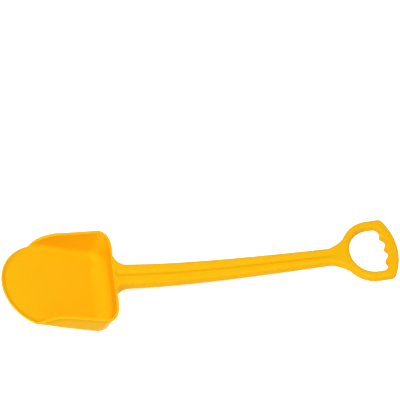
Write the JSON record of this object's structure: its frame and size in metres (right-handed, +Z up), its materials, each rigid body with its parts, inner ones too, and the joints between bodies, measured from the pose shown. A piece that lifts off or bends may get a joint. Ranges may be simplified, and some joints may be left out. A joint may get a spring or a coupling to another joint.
{
  "type": "toy sand shovel",
  "caption": "Moulded plastic toy sand shovel with a deep scoop, upturned round tongue, raised rim, grooved shaft and a D-grip with finger bumps.",
  "frame": {"origin": "on the ground under the middle of the shovel as it lies on its heel and on the underside of its grip", "axes": "+X from the tongue to the grip, +Y across to the right wall, +Z up"},
  "size_m": [0.5364, 0.1422, 0.0681],
  "materials": {
    "yellow_polypropylene": "glossy, as moulded"
  },
  "bodies": {
    "root": {"scoop_floor": "yellow_polypropylene", "tongue_lip": "yellow_polypropylene", "left_wall": "yellow_polypropylene", "right_wall": "yellow_polypropylene", "back_wall": "yellow_polypropylene", "rim": "yellow_polypropylene", "neck": "yellow_polypropylene", "shaft_shell": "yellow_polypropylene", "shaft_ribs": "yellow_polypropylene", "grip_yoke": "yellow_polypropylene", "left_arm": "yellow_polypropylene", "right_arm": "yellow_polypropylene", "grip_bar": "yellow_polypropylene", "grip_ribs": "yellow_polypropylene"}
  },
  "joints": []
}
